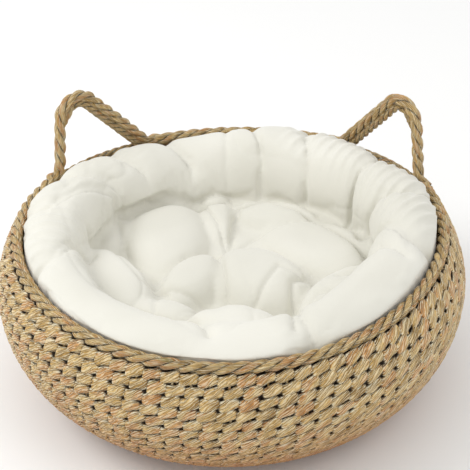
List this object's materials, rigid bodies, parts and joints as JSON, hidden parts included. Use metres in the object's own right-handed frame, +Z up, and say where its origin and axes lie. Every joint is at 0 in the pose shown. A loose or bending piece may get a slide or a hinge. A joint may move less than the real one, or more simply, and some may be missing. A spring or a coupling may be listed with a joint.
{
  "type": "pet bed basket",
  "caption": "Round twined-rush pet bed basket with a bulging wall, two open cat ears rising from its rope rim, and a lift-out filled cushion with a thick bolster.",
  "frame": {"origin": "centre of the flat underside, on the surface that the basket stands on", "axes": "+Z up; -Y is the open front, +Y the back, where the two ears stand either side of the middle; +X is to the right seen from the front"},
  "size_m": [0.4799, 0.48, 0.2525],
  "materials": {
    "twined_rush": "matte",
    "rush_stake": "matte",
    "rush_rope": "matte",
    "frame_wire": "satin",
    "cushion_cover": "matte",
    "fibre_filling": "matte"
  },
  "bodies": {
    "basket": {"wall_row_01": "twined_rush", "wall_row_02": "twined_rush", "wall_row_03": "twined_rush", "wall_row_04": "twined_rush", "wall_row_05": "twined_rush", "wall_row_06": "twined_rush", "wall_row_07": "twined_rush", "wall_row_08": "twined_rush", "wall_row_09": "twined_rush", "wall_row_10": "twined_rush", "wall_row_11": "twined_rush", "wall_row_12": "twined_rush", "wall_row_13": "twined_rush", "wall_row_14": "twined_rush", "wall_row_15": "twined_rush", "wall_row_16": "twined_rush", "wall_row_17": "twined_rush", "side_stakes": "rush_stake", "base_row_01": "twined_rush", "base_row_02": "twined_rush", "base_row_03": "twined_rush", "base_row_04": "twined_rush", "base_row_05": "twined_rush", "base_row_06": "twined_rush", "base_row_07": "twined_rush", "base_row_08": "twined_rush", "base_row_09": "twined_rush", "base_row_10": "twined_rush", "base_row_11": "twined_rush", "base_stakes": "rush_stake", "base_centre": "twined_rush", "rim_rope_front": "rush_rope", "rim_rope_back": "rush_rope", "rim_wire_ring": "frame_wire", "right_ear_border_rope": "rush_rope", "right_ear_second_row": "rush_rope", "right_ear_wire": "frame_wire", "right_ear_sill": "rush_rope", "left_ear_border_rope": "rush_rope", "left_ear_second_row": "rush_rope", "left_ear_wire": "frame_wire", "left_ear_sill": "rush_rope"},
    "cushion": {"bolster_cover": "cushion_cover", "bolster_filling": "fibre_filling", "pad_cover": "cushion_cover", "pad_filling": "fibre_filling"}
  },
  "joints": [
    {"name": "cushion_lift", "type": "slide", "parent": "basket", "child": "cushion", "axis": [0, 0, 1], "range_m": [0, 0.26]}
  ]
}
